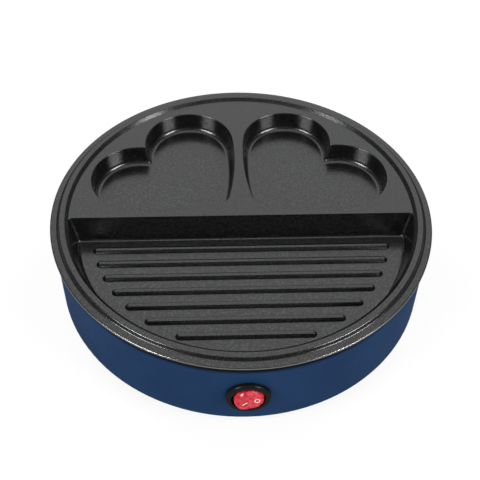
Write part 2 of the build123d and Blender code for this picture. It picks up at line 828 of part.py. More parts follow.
# Cord gland through the rear wall and its nut inside
with BuildPart() as cord_gland:
    with BuildSketch(gland_plane):
        Circle(gland_head_radius)
    extrude(amount=gland_head_length)
    fillet(cord_gland.edges().sort_by(Axis.Y)[-1], gland_rounding)
    with BuildSketch(gland_plane):
        Circle(gland_thread_radius)
    extrude(amount=-gland_thread_length)
    with BuildSketch(gland_plane.offset(gland_head_length)):
        Circle(gland_bore_radius)
    extrude(amount=-(gland_head_length + gland_thread_length), mode=Mode.SUBTRACT)
    chamfer(circles(cord_gland, gland_bore_radius).sort_by(Axis.Y)[-1], gland_flare)
cord_gland.part.label = "cord_gland"
export_step(cord_gland.part, "parts/cord_gland.step")

# The nut's corners meet the curved wall, so its face stands off the middle of the wall
nut_corner = gland_nut_flats / 2 / cos(radians(30))
nut_face = sqrt(housing_inner_radius**2 - nut_corner**2) - seat_gap
with BuildPart() as gland_nut:
    with BuildSketch(Plane(origin=(0, nut_face, gland_z), x_dir=(1, 0, 0), z_dir=(0, -1, 0))):
        RegularPolygon(nut_corner, 6)
        Circle(gland_thread_radius + thread_gap, mode=Mode.SUBTRACT)
    extrude(amount=gland_nut_length)
gland_nut.part.label = "gland_nut"
export_step(gland_nut.part, "parts/gland_nut.step")

# Thermostat: a cup with two ears on its pad, the body below and two spades
thermostat_mid = pad_level - thermostat_cap_height
thermostat_bottom = thermostat_mid - thermostat_body_height
with BuildPart() as thermostat_cup:
    with BuildSketch(Plane.XY.offset(pad_level)):
        with Locations((thermostat_x, thermostat_y)):
            SlotOverall(thermostat_pad_length - slip, thermostat_ear_width)
    extrude(amount=-thermostat_ear_thickness)
    with BuildSketch(Plane.XY.offset(pad_level)):
        with Locations((thermostat_x, thermostat_y)):
            Circle(thermostat_cap_radius)
    extrude(amount=-thermostat_cap_height)
    with BuildSketch(Plane.XY.offset(pad_level)):
        with Locations(*ear_spots):
            Circle(small_screw_radius + slip / 2)
    extrude(amount=-thermostat_ear_thickness, mode=Mode.SUBTRACT)
thermostat_cup.part.label = "thermostat_cup"
export_step(thermostat_cup.part, "parts/thermostat_cup.step")

with BuildPart() as thermostat_body:
    with BuildSketch(Plane.XY.offset(thermostat_mid)):
        with Locations((thermostat_x, thermostat_y)):
            Circle(thermostat_body_radius)
    extrude(amount=-thermostat_body_height)
thermostat_body.part.label = "thermostat_body"
export_step(thermostat_body.part, "parts/thermostat_body.step")

with BuildPart() as thermostat_spades:
    with BuildSketch(Plane.XY.offset(thermostat_bottom)):
        for side in (1, -1):
            with Locations((thermostat_x, thermostat_y + side * (spade_start + spade_length / 2))):
                Rectangle(spade_width, spade_length)
    extrude(amount=-blade_thickness)
thermostat_spades.part.label = "thermostat_spades"
export_step(thermostat_spades.part, "parts/thermostat_spades.step")

with BuildPart() as thermostat_screws:
    with Locations(*[(x, y, pad_level - thermostat_ear_thickness) for x, y in ear_spots]):
        add(
            pan_screw(
                small_screw_radius,
                thermostat_ear_thickness + small_screw_bite,
                small_screw_head_radius,
                small_screw_head_height,
            )
        )
thermostat_screws.part.label = "thermostat_screws"
export_step(thermostat_screws.part, "parts/thermostat_screws.step")

# Thermal fuse in a glass-fibre sleeve, held to its pad by a clip
fuse_level = pad_level - sleeve_radius - seat_gap
fuse_plane = Plane(origin=(fuse_x, fuse_y, fuse_level), x_dir=(0, 1, 0), z_dir=(1, 0, 0))
with BuildPart() as thermal_fuse:
    with BuildSketch(fuse_plane):
        Circle(fuse_radius)
    extrude(amount=fuse_length / 2, both=True)
    fillet(thermal_fuse.edges().filter_by(GeomType.CIRCLE), fuse_radius / 3)
    with BuildSketch(fuse_plane):
        Circle(fuse_lead_radius)
    extrude(amount=fuse_length / 2 + fuse_lead_length, both=True)
thermal_fuse.part.label = "thermal_fuse"
export_step(thermal_fuse.part, "parts/thermal_fuse.step")

with BuildPart() as fuse_sleeve:
    with BuildSketch(fuse_plane):
        Circle(sleeve_radius)
        Circle(fuse_radius + seat_gap, mode=Mode.SUBTRACT)
    extrude(amount=sleeve_length / 2, both=True)
fuse_sleeve.part.label = "fuse_sleeve"
export_step(fuse_sleeve.part, "parts/fuse_sleeve.step")

clip_inner = sleeve_radius + seat_gap
clip_outer = clip_inner + clip_thickness
with BuildPart() as fuse_clip:
    with BuildSketch(fuse_plane):
        Circle(clip_outer)
        Rectangle(2 * clip_outer, clip_inner, align=(Align.CENTER, Align.MIN))
        with Locations((0, clip_inner - clip_thickness / 2)):
            Rectangle(clip_pad_length - slip, clip_thickness)
        Circle(clip_inner, mode=Mode.SUBTRACT)
        Rectangle(2 * clip_inner, clip_inner, align=(Align.CENTER, Align.MIN), mode=Mode.SUBTRACT)
        with Locations((0, clip_inner)):
            Rectangle(
                clip_pad_length,
                clip_outer,
                align=(Align.CENTER, Align.MIN),
                mode=Mode.SUBTRACT,
            )
    extrude(amount=clip_width / 2, both=True)
    with Locations(*[(x, y, pad_level) for x, y in clip_screw_spots]):
        Cylinder(small_screw_radius + slip / 2, 4 * clip_thickness, mode=Mode.SUBTRACT)
fuse_clip.part.label = "fuse_clip"
export_step(fuse_clip.part, "parts/fuse_clip.step")

with BuildPart() as fuse_clip_screws:
    with Locations(*[(x, y, pad_level - clip_thickness) for x, y in clip_screw_spots]):
        add(
            pan_screw(
                small_screw_radius,
                clip_thickness + small_screw_bite,
                small_screw_head_radius,
                small_screw_head_height,
            )
        )
fuse_clip_screws.part.label = "fuse_clip_screws"
export_step(fuse_clip_screws.part, "parts/fuse_clip_screws.step")

# Terminal block on the base, with brass inserts, clamp screws and fixing screws
block_places = [(number - (block_ways - 1) / 2) * block_pitch for number in range(block_ways)]
block_top = base_deck + block_height
block_front = Plane(origin=(0, block_y - block_width / 2, base_deck), x_dir=(1, 0, 0), z_dir=(0, -1, 0))
with BuildPart() as terminal_block:
    with BuildSketch(Plane.XY.offset(base_deck)):
        with Locations((0, block_y)):
            RectangleRounded(block_length, block_width, block_corner)
    extrude(amount=block_height)
    fillet(terminal_block.faces().sort_by(Axis.Z)[-1].edges(), block_edge)
    with BuildSketch(block_front):
        with Locations(*[(x, block_bore_level) for x in block_places]):
            Circle(insert_radius + seat_gap)
    extrude(amount=-block_width, mode=Mode.SUBTRACT)
    with Locations(*[(x, block_y, block_top) for x in block_places]):
        Cylinder(
            clamp_screw_head_radius + slip / 2,
            block_height - block_bore_level,
            align=hanging,
            mode=Mode.SUBTRACT,
        )
    with Locations(*[(x, y, base_deck) for x, y in block_screw_spots]):
        Cylinder(small_screw_radius + slip / 2, block_height, align=upright, mode=Mode.SUBTRACT)
terminal_block.part.label = "terminal_block"
export_step(terminal_block.part, "parts/terminal_block.step")

with BuildPart() as block_inserts:
    with BuildSketch(block_front.offset(-insert_setback)):
        with Locations(*[(x, block_bore_level) for x in block_places]):
            Circle(insert_radius)
            Circle(insert_bore_radius, mode=Mode.SUBTRACT)
    extrude(amount=2 * insert_setback - block_width)
    with Locations(*[(x, block_y, base_deck + block_bore_level) for x in block_places]):
        Cylinder(clamp_screw_radius + thread_gap, insert_radius + slip, align=upright, mode=Mode.SUBTRACT)
block_inserts.part.label = "block_inserts"
export_step(block_inserts.part, "parts/block_inserts.step")

clamp_screw_level = base_deck + block_bore_level + insert_radius + slip
with BuildPart() as clamp_screws:
    with Locations(*[Location((x, block_y, clamp_screw_level), upside_down) for x in block_places]):
        add(
            pan_screw(
                clamp_screw_radius,
                clamp_screw_length,
                clamp_screw_head_radius,
                clamp_screw_head_height,
            )
        )
clamp_screws.part.label = "clamp_screws"
export_step(clamp_screws.part, "parts/clamp_screws.step")

with BuildPart() as block_screws:
    with Locations(*[Location((x, y, block_top), upside_down) for x, y in block_screw_spots]):
        add(
            pan_screw(
                small_screw_radius,
                block_screw_length,
                small_screw_head_radius,
                small_screw_head_height,
            )
        )
block_screws.part.label = "block_screws"
export_step(block_screws.part, "parts/block_screws.step")

# Earth tag under its screw on the base, with a barrel crimped round its wire
barrel_y = earth_y + earth_tag_tongue - earth_barrel_overlap
barrel_z = base_deck + earth_barrel_radius + slip / 2
barrel_plane = Plane(origin=(earth_x, barrel_y, barrel_z), x_dir=(-1, 0, 0), z_dir=(0, 1, 0))
with BuildPart() as earth_tag:
    with BuildSketch(Plane.XY.offset(base_deck)):
        with Locations((earth_x, earth_y)):
            Circle(earth_tag_radius)
        with Locations((earth_x, earth_y + earth_tag_tongue / 2)):
            Rectangle(earth_tag_width, earth_tag_tongue)
        with Locations((earth_x, earth_y)):
            Circle(earth_screw_radius + slip / 2, mode=Mode.SUBTRACT)
    extrude(amount=earth_tag_thickness)
    with BuildSketch(barrel_plane):
        Circle(earth_barrel_radius)
    extrude(amount=earth_barrel_length)
    with BuildSketch(barrel_plane):
        Circle(wire_radius + seat_gap)
    extrude(amount=earth_barrel_length, mode=Mode.SUBTRACT)
earth_tag.part.label = "earth_tag"
export_step(earth_tag.part, "parts/earth_tag.step")

with BuildPart() as earth_screw:
    with Locations(Location((earth_x, earth_y, base_deck + earth_tag_thickness), upside_down)):
        add(
            pan_screw(
                earth_screw_radius,
                earth_screw_length,
                earth_screw_head_radius,
                earth_screw_head_height,
            )
        )
earth_screw.part.label = "earth_screw"
export_step(earth_screw.part, "parts/earth_screw.step")


def wire_along(points):
    """Wire through the points, each corner an arc that takes less than half of its shorter arm."""
    arms = [Vector(*after) - Vector(*before) for before, after in zip(points, points[1:])]
    bends = []
    for arm, next_arm in zip(arms, arms[1:]):
        half_turn = radians(arm.get_angle(next_arm) / 2)
        bends.append(wire_bend_share * min(arm.length, next_arm.length) / tan(half_turn))
    with BuildLine(mode=Mode.PRIVATE) as route:
        FilletPolyline(*points, radius=bends)
    path = route.wires()[0]
    with BuildPart(mode=Mode.PRIVATE) as wire:
        with BuildSketch(Plane(origin=path @ 0, z_dir=path % 0)):
            Circle(wire_radius)
        sweep(path=path)
    print("share of section times length:", round(wire.part.volume / (pi * wire_radius**2 * path.length), 4))
    return wire.part


# Where the wires end: in the terminal block, at the switch, the thermostat, the fuse and the element
block_level = base_deck + block_bore_level
block_stop = clamp_screw_radius + slip
blade_end_y = barrel_depth + cage_length + blade_outer_length - housing_radius
notch_y = reflector_notch_depth - reflector_radius
spade_level = thermostat_bottom - blade_thickness / 2
spade_reach = spade_start + spade_length
lead_reach = fuse_length / 2 + fuse_lead_length
pin_end_y = element_end_y + bead_length + pin_length
wall_turn_y = pin_end_y + wire_wall_run

# From the front of the block under the reflector and up through its notch to the outer blades
for name, side in (("live_wire", 1), ("lamp_wire", -1)):
    wire = wire_along(
        [
            (side * block_places[-1], block_y - block_stop, block_level),
            (side * (blade_places[-1] + wire_radius), notch_y + wire_notch_run, block_level),
            (side * blade_places[-1], notch_y - wire_notch_run, switch_z),
            (side * blade_places[-1], blade_end_y, switch_z),
        ]
    )
    wire.label = name
    export_step(wire, f"parts/{name}.step")

# From the middle blade to the front spade of the thermostat
switch_wire = wire_along(
    [
        (0, blade_end_y, switch_z),
        (0, blade_end_y + wire_side_run, switch_z),
        (thermostat_x, thermostat_y - spade_reach - wire_side_run, spade_level),
        (thermostat_x, thermostat_y - spade_reach, spade_level),
    ]
)
switch_wire.label = "switch_wire"
export_step(switch_wire, "parts/switch_wire.step")

# From the rear spade round to the front lead of the fuse
link_x = fuse_x - fuse_margin
link_wire = wire_along(
    [
        (thermostat_x, thermostat_y + spade_reach, spade_level),
        (thermostat_x, thermostat_y + spade_reach + wire_side_run, spade_level),
        (link_x, thermostat_y + spade_reach + wire_side_run, fuse_level),
        (link_x, fuse_y - lead_reach - wire_lead_run, fuse_level),
        (fuse_x, fuse_y - lead_reach - wire_lead_run, fuse_level),
        (fuse_x, fuse_y - lead_reach, fuse_level),
    ]
)
link_wire.label = "link_wire"
export_step(link_wire, "parts/link_wire.step")

# From the rear lead under the element, over the rim of the reflector and back to the right pin
fuse_wire = wire_along(
    [
        (fuse_x, fuse_y + lead_reach, fuse_level),
        (fuse_x, fuse_y + lead_reach + wire_lead_run, fuse_level),
        (fuse_x, fuse_y + lead_reach + 3 * wire_lead_run, wire_high),
        (fuse_x, element_radius, wire_high),
        (element_end_x + wire_wall_run, wall_turn_y, element_level),
        (element_end_x, wall_turn_y, element_level),
        (element_end_x, pin_end_y, element_level),
    ]
)
fuse_wire.label = "fuse_wire"
export_step(fuse_wire, "parts/fuse_wire.step")

# From the left pin down the wall and into the rear of the block
return_wire = wire_along(
    [
        (-element_end_x, pin_end_y, element_level),
        (-element_end_x, wall_turn_y, element_level),
        (-element_end_x, wall_turn_y, block_level),
        (block_places[0], block_y + block_width, block_level),
        (block_places[0], block_y + block_stop, block_level),
    ]
)
return_wire.label = "return_wire"
export_step(return_wire, "parts/return_wire.step")

# From the middle of the block to the earth tag
earth_wire = wire_along(
    [
        (0, block_y + block_stop, block_level),
        (0, block_y + wire_earth_run, block_level),
        (earth_x, block_y + wire_earth_run, barrel_z),
        (earth_x, barrel_y + earth_barrel_overlap, barrel_z),
    ]
)
earth_wire.label = "earth_wire"
export_step(earth_wire, "parts/earth_wire.step")
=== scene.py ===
# %% [markdown]
# # An electric grill pan, dressed for its picture
# The shapes of this pan come from a CAD model that is already packed: a cast cooking plate, a drawn steel housing, a rocker switch and the parts inside.
# This script loads that model as a frame that never moves, gives every part the finish of the real one, adds the small things that only the eye needs, and sets up the camera, the light and the floor.

# %% The frame and the units
import math

import bmesh
import bpy
from mathutils import Matrix, Vector


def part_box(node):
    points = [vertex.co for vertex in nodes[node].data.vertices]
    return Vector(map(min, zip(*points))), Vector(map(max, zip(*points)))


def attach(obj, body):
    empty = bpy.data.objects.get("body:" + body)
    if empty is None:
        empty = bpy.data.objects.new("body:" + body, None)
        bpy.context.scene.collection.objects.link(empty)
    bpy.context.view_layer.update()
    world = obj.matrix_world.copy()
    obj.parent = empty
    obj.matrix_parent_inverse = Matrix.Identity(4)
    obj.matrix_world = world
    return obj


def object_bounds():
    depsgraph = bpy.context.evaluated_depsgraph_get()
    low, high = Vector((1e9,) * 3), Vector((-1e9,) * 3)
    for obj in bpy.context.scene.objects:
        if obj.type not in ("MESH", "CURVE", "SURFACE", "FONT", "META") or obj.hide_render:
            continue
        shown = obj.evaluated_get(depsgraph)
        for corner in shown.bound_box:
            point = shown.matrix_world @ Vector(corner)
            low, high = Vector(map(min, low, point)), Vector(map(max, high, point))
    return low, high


MM = 0.001
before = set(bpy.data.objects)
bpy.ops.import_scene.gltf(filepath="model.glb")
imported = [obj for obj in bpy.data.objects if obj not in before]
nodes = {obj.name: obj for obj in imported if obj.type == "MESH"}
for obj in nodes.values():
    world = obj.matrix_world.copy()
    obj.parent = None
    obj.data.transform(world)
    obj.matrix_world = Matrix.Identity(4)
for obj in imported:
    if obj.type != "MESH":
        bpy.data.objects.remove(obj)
cad_low, cad_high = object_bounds()
print("CAD box in mm", [round(v / MM, 1) for v in (*cad_low, *cad_high)])

# %% [markdown]
# ## The camera
# The photograph was taken from the front and well above, so that one looks down into the wells and still sees the blue wall and the switch.
# A camera is a place, a direction to look in, a small roll and a lens. The numbers were worked out from the photograph: the two rim circles and the even spacing of the ribs fix them.

# %% Camera
camera_place = Vector((-17.19, -339.31, 402.42)) * MM
camera_look = Vector((0.03319, 0.67341, -0.73852)).normalized()
camera_roll = math.radians(-1.09)
camera_lens = 65.71

level_right = camera_look.cross(Vector((0, 0, 1))).normalized()
level_up = level_right.cross(camera_look)
camera_right = math.cos(camera_roll) * level_right - math.sin(camera_roll) * level_up
camera_up = math.sin(camera_roll) * level_right + math.cos(camera_roll) * level_up
turn = Matrix((camera_right, camera_up, -camera_look)).transposed().to_4x4()
camera_data = bpy.data.cameras.new("camera")
camera_data.lens = camera_lens
camera_data.sensor_width = 36.0
camera_data.clip_start = 0.01
camera_data.clip_end = 20.0
camera = bpy.data.objects.new("camera", camera_data)
camera.matrix_world = Matrix.Translation(camera_place) @ turn
bpy.context.scene.collection.objects.link(camera)
bpy.context.scene.camera = camera
print("camera looks down at", round(math.degrees(math.asin(-camera_look.z)), 1), "degrees")

# %% [markdown]
# ## Colours and nodes
# A material in Blender is a small graph of nodes. Two helpers keep the graphs short: one turns an sRGB hex value, as read from a picture, into the linear numbers that Cycles works with, and one adds a node with its settings and links.

# %% Helpers for materials
def linear(hex_value):
    """Linear RGBA of an sRGB hex value such as '2b5a8c'."""
    parts = [int(hex_value[i:i + 2], 16) / 255 for i in (0, 2, 4)]
    return tuple(p / 12.92 if p <= 0.04045 else ((p + 0.055) / 1.055) ** 2.4 for p in parts) + (1.0,)


def add(tree, kind, settings=None, inputs=None):
    """Add one node: settings are its properties, inputs its sockets, each a value or an output socket."""
    node = tree.nodes.new(kind)
    for name, value in (settings or {}).items():
        setattr(node, name, value)
    for name, value in (inputs or {}).items():
        if isinstance(value, bpy.types.NodeSocket):
            tree.links.new(value, node.inputs[name])
        else:
            node.inputs[name].default_value = value
    return node


def new_material(name):
    """An empty material with its output node and object coordinates."""
    material = bpy.data.materials.new(name)
    material.use_nodes = True
    tree = material.node_tree
    tree.nodes.clear()
    output = add(tree, "ShaderNodeOutputMaterial")
    place = add(tree, "ShaderNodeTexCoord").outputs["Object"]
    return material, tree, output, place


def finish_with(tree, output, shader):
    """Make a shader the surface of its material."""
    tree.links.new(shader.outputs[0], output.inputs["Surface"])


def wear(tree, place, size_mm, low, high):
    """A value that drifts between low and high in patches of a size."""
    noise = add(
        tree,
        "ShaderNodeTexNoise",
        None,
        {"Vector": place, "Scale": 1 / (size_mm * MM), "Detail": 3.0},
    )
    spread = add(
        tree,
        "ShaderNodeMapRange",
        None,
        {"Value": noise.outputs["Fac"], "From Min": 0.3, "From Max": 0.7, "To Min": low, "To Max": high},
    )
    return spread.outputs["Result"]


print("mid grey in linear numbers", [round(v, 4) for v in linear("808080")[:3]])

# %% [markdown]
# ## The cooking plate's coating
# The plate is die-cast aluminium with a sprayed and baked PTFE non-stick coat. The coat itself is almost black, so the walls of the wells look black where they mirror the dark plate. The level faces mirror the white studio instead, and that sheen is what makes them grey.
# The spray dries in droplets of less than a millimetre, which gives a soft orange-peel skin. Three noise textures make it: a fine one bumps the surface, a second strews the mica flakes that such a coat holds, somewhat coarser than real ones so that they show in the picture, and a coarse one lets the roughness drift, as on a wiped coat. A flake is a small dull mirror, so it is metallic and brighter than the coat round it. The fillers in the coat raise its index of refraction above that of clear PTFE.
# A thin pale metallic band is painted round the outer edge of the lip: it is a painted highlight, the bright line along
# that edge. It is a band of heights at the largest radius.

# %% Non-stick coating
droplet_mm = 0.9
flake_mm = 0.8
lip_radius_mm = cad_high[0] / MM
edge_highlight_depth_mm = 0.35
edge_highlight_from_radius_mm = lip_radius_mm - edge_highlight_depth_mm
edge_highlight_middle_height_mm = 54.1
edge_highlight_half_height_mm = 0.4

coating, tree, output, place = new_material("ptfe_spray_coat_on_cast_aluminium")
droplets = add(
    tree,
    "ShaderNodeTexNoise",
    None,
    {"Vector": place, "Scale": 1 / (droplet_mm * MM), "Detail": 2.0},
)
skin = add(
    tree,
    "ShaderNodeBump",
    None,
    {"Strength": 0.35, "Distance": 0.05 * MM, "Height": droplets.outputs["Fac"]},
)
mica = add(
    tree,
    "ShaderNodeTexNoise",
    None,
    {"Vector": place, "Scale": 1 / (flake_mm * MM), "Detail": 1.0},
)
flecks = add(
    tree,
    "ShaderNodeMapRange",
    None,
    {"Value": mica.outputs["Fac"], "From Min": 0.55, "From Max": 0.60, "To Min": 0.0, "To Max": 1.0},
).outputs["Result"]
tint = add(
    tree,
    "ShaderNodeMix",
    {"data_type": "RGBA"},
    {"Factor": flecks, "A": linear("030303"), "B": linear("5c5e5e")},
)
level = add(tree, "ShaderNodeVectorMath", {"operation": "MULTIPLY"}, {0: place, 1: (1, 1, 0)})
radius = add(tree, "ShaderNodeVectorMath", {"operation": "LENGTH"}, {0: level.outputs["Vector"]})
at_rim = add(
    tree,
    "ShaderNodeMath",
    {"operation": "GREATER_THAN"},
    {0: radius.outputs["Value"], 1: edge_highlight_from_radius_mm * MM},
)
height = add(tree, "ShaderNodeSeparateXYZ", None, {0: place}).outputs["Z"]
at_height = add(
    tree,
    "ShaderNodeMath",
    {"operation": "COMPARE"},
    {0: height, 1: edge_highlight_middle_height_mm * MM, 2: edge_highlight_half_height_mm * MM},
)
painted_edge_highlight = add(
    tree,
    "ShaderNodeMath",
    {"operation": "MULTIPLY"},
    {0: at_rim.outputs[0], 1: at_height.outputs[0]},
)
# Painted highlight: a pale metallic band at the lip's outer edge stands in for the bright line that edge catches
tint = add(
    tree,
    "ShaderNodeMix",
    {"data_type": "RGBA"},
    {"Factor": painted_edge_highlight.outputs[0], "A": tint.outputs["Result"], "B": linear("c4c4c2")},
)
# Metallic where the mica flakes lie, and on the painted edge highlight
flakes_and_edge_highlight = add(tree, "ShaderNodeMath", {"operation": "MAXIMUM"}, {0: flecks, 1: painted_edge_highlight.outputs[0]})
shader = add(
    tree,
    "ShaderNodeBsdfPrincipled",
    None,
    {
        "Base Color": tint.outputs["Result"],
        "Metallic": flakes_and_edge_highlight.outputs[0],
        "Roughness": wear(tree, place, 9.0, 0.20, 0.25),
        "IOR": 1.72,
        "Normal": skin.outputs["Normal"],
    },
)
finish_with(tree, output, shader)
print("coating", coating.name)

# %% [markdown]
# ## The blue wall
# The housing is drawn from steel sheet and stove-enamelled in a deep blue. Enamel is a colour coat that levels itself, so its skin has faint shallow waves rather than grain. This one is semi-matt: its gloss is weak from the front and grows where one sees it at a shallow angle, so the sides of the wall look paler than its front.
# Near the turned-in edges above and below, the blue is painted darker down to near black. This is painted shade under
# the overhanging lip and a painted shadow along the foot of the wall.

# %% Blue stove enamel
wall_low, wall_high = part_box("housing")
wall_bottom_mm = wall_low[2] / MM
wall_top_mm = wall_high[2] / MM
# At each edge: the height where the painted shade begins, and the height from which the wall is painted black
painted_shade_heights_mm = [
    (wall_bottom_mm + 3.4, wall_bottom_mm + 2.4),
    (wall_top_mm - 4.8, wall_top_mm - 2.3),
]
wave_mm = 1.2

enamel, tree, output, place = new_material("blue_stove_enamel_on_steel")
waves = add(
    tree,
    "ShaderNodeTexNoise",
    None,
    {"Vector": place, "Scale": 1 / (wave_mm * MM), "Detail": 1.0},
)
levelled = add(
    tree,
    "ShaderNodeBump",
    None,
    {"Strength": 0.12, "Distance": 0.05 * MM, "Height": waves.outputs["Fac"]},
)
tint = add(
    tree,
    "ShaderNodeMix",
    {"data_type": "RGBA"},
    {"Factor": wear(tree, place, 30.0, 0.0, 1.0), "A": linear("152f50"), "B": linear("193558")},
)
height = add(tree, "ShaderNodeSeparateXYZ", None, {0: place}).outputs["Z"]
painted_edge_shade = []
for blue_from, black_from in painted_shade_heights_mm:
    edge = add(
        tree,
        "ShaderNodeMapRange",
        {"interpolation_type": "SMOOTHSTEP"},
        {"Value": height, "From Min": blue_from * MM, "From Max": black_from * MM},
    )
    painted_edge_shade.append(edge.outputs["Result"])
painted_shade_share = add(
    tree,
    "ShaderNodeMath",
    {"operation": "MAXIMUM"},
    {0: painted_edge_shade[0], 1: painted_edge_shade[1]},
)
# Painted shade: the wall turns near black towards its top and bottom edges, standing in for the lip's shadow and the
# shadow at the foot
tint = add(
    tree,
    "ShaderNodeMix",
    {"data_type": "RGBA"},
    {"Factor": painted_shade_share.outputs[0], "A": tint.outputs["Result"], "B": linear("0c0d0f")},
)
shader = add(
    tree,
    "ShaderNodeBsdfPrincipled",
    None,
    {
        "Base Color": tint.outputs["Result"],
        "Roughness": wear(tree, place, 12.0, 0.50, 0.58),
        "Specular IOR Level": 0.06,
        "Normal": levelled.outputs["Normal"],
    },
)
finish_with(tree, output, shader)
print("enamel", enamel.name)

# %% [markdown]
# ## Plastics, rubber, ceramic and metal
# The smaller parts fall into families that differ in a few numbers only: how dark, how rough, how metallic, and how coarse the skin that the mould or the mill left. One function makes a family member, and each call says which real finish it stands for.

# %% A moulded or milled finish
patch_mm = 6.0


def plain_finish(name, light, dark, rough, grain_mm, depth_mm, metallic=0.0, gloss=0.5):
    """A finish whose colour drifts between two hex values, with a grain of a size and a depth."""
    material, tree, output, place = new_material(name)
    grain = add(
        tree,
        "ShaderNodeTexNoise",
        None,
        {"Vector": place, "Scale": 1 / (grain_mm * MM), "Detail": 2.0},
    )
    relief = add(
        tree,
        "ShaderNodeBump",
        None,
        {"Strength": 0.3, "Distance": depth_mm * MM, "Height": grain.outputs["Fac"]},
    )
    tint = add(
        tree,
        "ShaderNodeMix",
        {"data_type": "RGBA"},
        {"Factor": wear(tree, place, patch_mm, 0.0, 1.0), "A": linear(dark), "B": linear(light)},
    )
    shader = add(
        tree,
        "ShaderNodeBsdfPrincipled",
        None,
        {
            "Base Color": tint.outputs["Result"],
            "Metallic": metallic,
            "Roughness": wear(tree, place, patch_mm / 2, rough - 0.04, rough + 0.04),
            "Specular IOR Level": gloss,
            "Normal": relief.outputs["Normal"],
        },
    )
    finish_with(tree, output, shader)
    return material


silicone = plain_finish("black_moulded_silicone", "171717", "101010", 0.55, 0.5, 0.03)
nylon = plain_finish("black_moulded_nylon", "131312", "0c0c0c", 0.3, 0.4, 0.03, gloss=0.22)
rubber = plain_finish("black_moulded_rubber", "1c1c1c", "121212", 0.7, 0.6, 0.05)
painted_sheet = plain_finish("black_painted_steel_sheet", "202122", "17181a", 0.45, 0.7, 0.03)
phenolic = plain_finish("brown_phenolic_resin", "3a2117", "2a1810", 0.4, 0.5, 0.03)
ceramic = plain_finish("white_glazed_steatite", "ece8df", "ded9ce", 0.3, 0.8, 0.02)
glass_braid = plain_finish("silicone_glass_braid", "e9e2cf", "d4ccb6", 0.7, 0.35, 0.12)
brown_wire = plain_finish("brown_silicone_wire_sleeve", "5a3620", "45281a", 0.55, 0.5, 0.02)
blue_wire = plain_finish("blue_silicone_wire_sleeve", "2d5fa6", "244e8c", 0.55, 0.5, 0.02)
white_wire = plain_finish("white_silicone_wire_sleeve", "e6e3da", "d2cec2", 0.55, 0.5, 0.02)
green_wire = plain_finish("green_silicone_wire_sleeve", "3f8a3a", "33732f", 0.55, 0.5, 0.02)
zinc = plain_finish("zinc_plated_steel", "c9c9c4", "a9aaa6", 0.3, 0.5, 0.02, metallic=1.0)
brass = plain_finish("bright_pressed_brass", "e0c07a", "c9a45c", 0.28, 0.5, 0.02, metallic=1.0)
tin = plain_finish("tinned_fuse_case", "c4c0b6", "a8a498", 0.28, 0.5, 0.01, metallic=1.0)
aluminium = plain_finish("plain_spun_aluminium", "d6d7d8", "bfc0c2", 0.32, 0.4, 0.02, metallic=1.0)
aluminised = plain_finish("aluminised_steel_sheet", "b9babb", "9fa0a2", 0.38, 2.5, 0.03, metallic=1.0)
sheath = plain_finish("oxidised_element_sheath", "7d7a74", "55524d", 0.45, 0.5, 0.02, metallic=1.0)
print("plain finishes made")

# %% [markdown]
# ## The red rocker
# The rocker is moulded from clear red polycarbonate, so that a lamp behind it can shine through. Light enters it, scatters and comes out red, and its polished faces catch small hard highlights. Subsurface scattering gives the glow, a low roughness the polish, and a slow ripple breaks the highlights up.

# %% Clear red polycarbonate
ripple_mm = 1.6
cloud_mm = 2.6
red_lens, tree, output, place = new_material("clear_red_polycarbonate")
ripple = add(
    tree,
    "ShaderNodeTexNoise",
    None,
    {"Vector": place, "Scale": 1 / (ripple_mm * MM), "Detail": 2.0},
)
soft_mould = add(
    tree,
    "ShaderNodeBump",
    None,
    {"Strength": 0.6, "Distance": 0.4 * MM, "Height": ripple.outputs["Fac"]},
)
tint = add(
    tree,
    "ShaderNodeMix",
    {"data_type": "RGBA"},
    {"Factor": wear(tree, place, cloud_mm, 0.0, 1.0), "A": linear("8e0618"), "B": linear("ee4456")},
)
shader = add(
    tree,
    "ShaderNodeBsdfPrincipled",
    None,
    {
        "Base Color": tint.outputs["Result"],
        "Roughness": 0.18,
        "IOR": 1.58,
        "Subsurface Weight": 0.2,
        "Subsurface Radius": (1.0, 0.15, 0.15),
        "Subsurface Scale": 1.5 * MM,
        "Normal": soft_mould.outputs["Normal"],
    },
)
finish_with(tree, output, shader)
white_print = plain_finish("white_pad_print", "fbf6f4", "efe6e4", 0.4, 0.3, 0.01)
print("red lens", red_lens.name)

# %% [markdown]
# ## Which part has which finish
# A CAD part keeps its mesh, and gets its finish by setting the material slots of its object.

# %% Finishes of the CAD parts
finish_of = {
    coating: ["grill_plate"],
    enamel: ["housing"],
    silicone: ["rim_gasket"],
    painted_sheet: ["base_plate"],
    aluminised: ["reflector"],
    sheath: ["heating_element"],
    ceramic: ["element_beads", "terminal_block"],
    zinc: [
        "base_screws",
        "block_screws",
        "clamp_screws",
        "element_pins",
        "foot_screws",
        "fuse_clip",
        "fuse_clip_screws",
        "lower_posts",
        "thermostat_screws",
        "upper_posts",
    ],
    brass: ["block_inserts", "earth_screw", "earth_tag", "switch_terminals", "thermostat_spades"],
    nylon: ["cord_gland", "gland_nut", "switch_body"],
    red_lens: ["switch_rocker"],
    aluminium: ["thermostat_cup"],
    phenolic: ["thermostat_body"],
    tin: ["thermal_fuse"],
    glass_braid: ["fuse_sleeve"],
    rubber: ["foot_front_left", "foot_front_right", "foot_rear_left", "foot_rear_right"],
    brown_wire: ["live_wire", "switch_wire"],
    blue_wire: ["lamp_wire", "return_wire"],
    white_wire: ["fuse_wire", "link_wire"],
    green_wire: ["earth_wire"],
}
for material, names in finish_of.items():
    for name in names:
        nodes[name].data.materials.clear()
        nodes[name].data.materials.append(material)
without_finish = sorted(set(nodes) - {name for names in finish_of.values() for name in names})
print("parts without a finish:", without_finish)

# %% [markdown]
# ## A way to make pieces with Geometry Nodes
# A Geometry Nodes tree is a recipe with named sizes. One helper adds the arithmetic of a recipe step by step, and one runs a finished recipe, turns its result into a plain mesh and says which body it rides on and which finish it takes. A plain mesh is what a renderer, a printer and a game all read.

# %% Helpers for Geometry Nodes
seam_mm = 0.001


